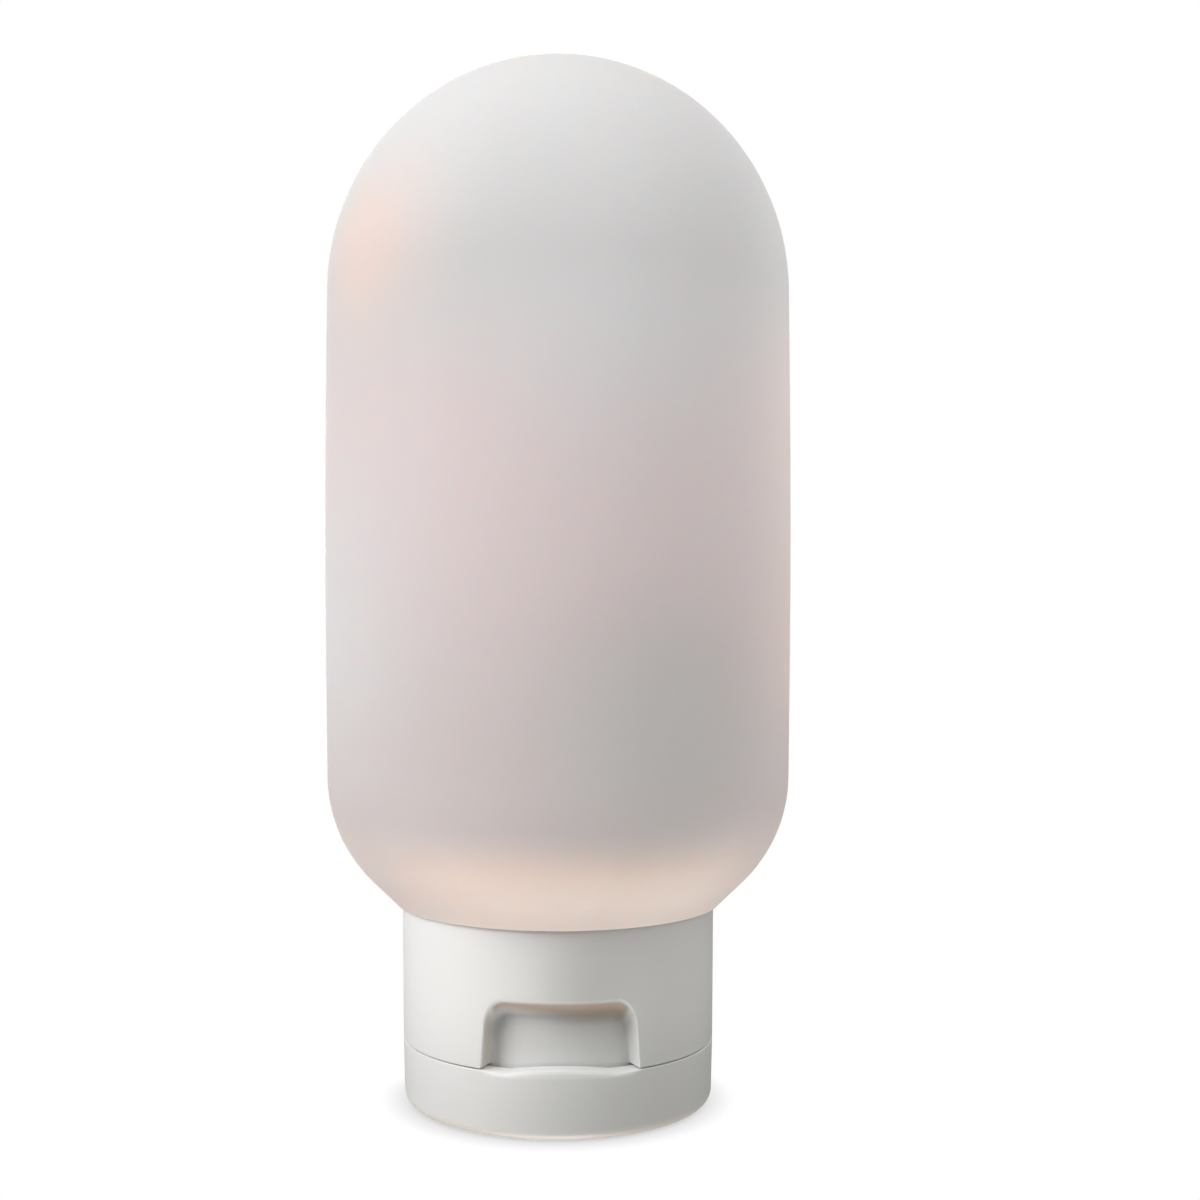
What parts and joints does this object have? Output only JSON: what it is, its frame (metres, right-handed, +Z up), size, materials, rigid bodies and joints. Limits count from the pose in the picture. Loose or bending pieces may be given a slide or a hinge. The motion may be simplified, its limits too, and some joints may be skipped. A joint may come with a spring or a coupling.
{
  "type": "squeeze travel bottle",
  "caption": "Soft silicone squeeze bottle with a domed end, standing on a screw cap whose hinged flip lid has a thumb recess.",
  "frame": {"origin": "centre of the lid's outer face, which the bottle stands on", "axes": "+Z up along the bottle's axis from the lid to the dome, -Y towards the front with the thumb recess, +Y towards the hinge"},
  "size_m": [0.0448, 0.0448, 0.0999],
  "materials": {
    "frosted_silicone": "frosted translucent silicone, satin",
    "natural_collar": "milky natural polypropylene, satin",
    "gasket_foam": "soft white sealing washer, matt",
    "cap_plastic": "white polypropylene, fine satin",
    "valve_silicone": "milky silicone, satin"
  },
  "bodies": {
    "cap": {"cap_base": "cap_plastic", "slit_valve": "valve_silicone", "valve_retainer": "natural_collar", "hinge_film_left": "cap_plastic", "hinge_film_right": "cap_plastic", "snap_strap": "cap_plastic"},
    "gasket": {"mouth_gasket": "gasket_foam"},
    "bottle": {"squeeze_body": "frosted_silicone", "neck_collar": "natural_collar"},
    "lid": {"flip_lid": "cap_plastic"}
  },
  "joints": [
    {"name": "bottle_twist", "type": "hinge", "parent": "cap", "child": "gasket", "pos_m": [0, 0, 0.0079], "axis": [0, 0, 1], "range_deg": [0, 1440]},
    {"name": "bottle_lift", "type": "slide", "parent": "gasket", "child": "bottle", "axis": [0, 0, 1], "range_m": [0, 0.0161]},
    {"name": "lid_hinge", "type": "hinge", "parent": "cap", "child": "lid", "pos_m": [0, 0.0154, 0.00615], "axis": [1, 0, 0], "range_deg": [0, 150], "deforming": ["hinge_film_left", "hinge_film_right", "snap_strap"]}
  ],
  "couplings": [
    {"joint": "bottle_lift", "follows": "bottle_twist", "m_per_rad": 0.00063662}
  ]
}
